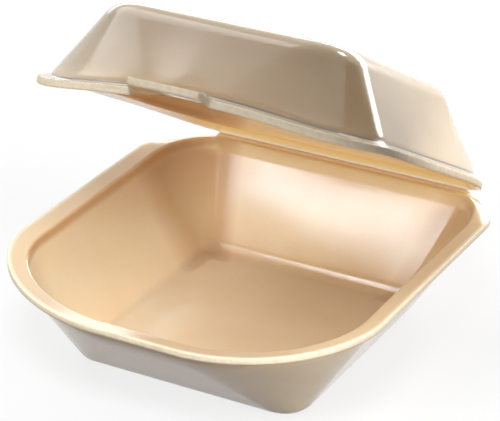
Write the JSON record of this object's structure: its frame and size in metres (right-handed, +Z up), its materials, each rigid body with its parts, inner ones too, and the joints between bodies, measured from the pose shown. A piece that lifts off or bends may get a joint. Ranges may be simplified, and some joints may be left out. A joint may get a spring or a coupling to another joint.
{
  "type": "foam burger box",
  "caption": "Hinged foam burger box: flared tray base and domed lid from one sheet, folded along a crushed hinge line, with a bowed front rim and a finger tab on the lid.",
  "frame": {"origin": "middle of the flat underside of the base", "axes": "+X along the hinge line, +Y from the front towards the hinge, +Z up"},
  "size_m": [0.137, 0.1444, 0.1201],
  "materials": {
    "foam_skin": "satin tan skin on expanded polystyrene foam"
  },
  "bodies": {
    "base": {"base": "foam_skin"},
    "lid": {"lid": "foam_skin"}
  },
  "joints": [
    {"name": "lid_hinge", "type": "hinge", "parent": "base", "child": "lid", "pos_m": [0, 0.068, 0.0373], "axis": [-1, 0, 0], "range_deg": [-28.5, 150.5]}
  ]
}
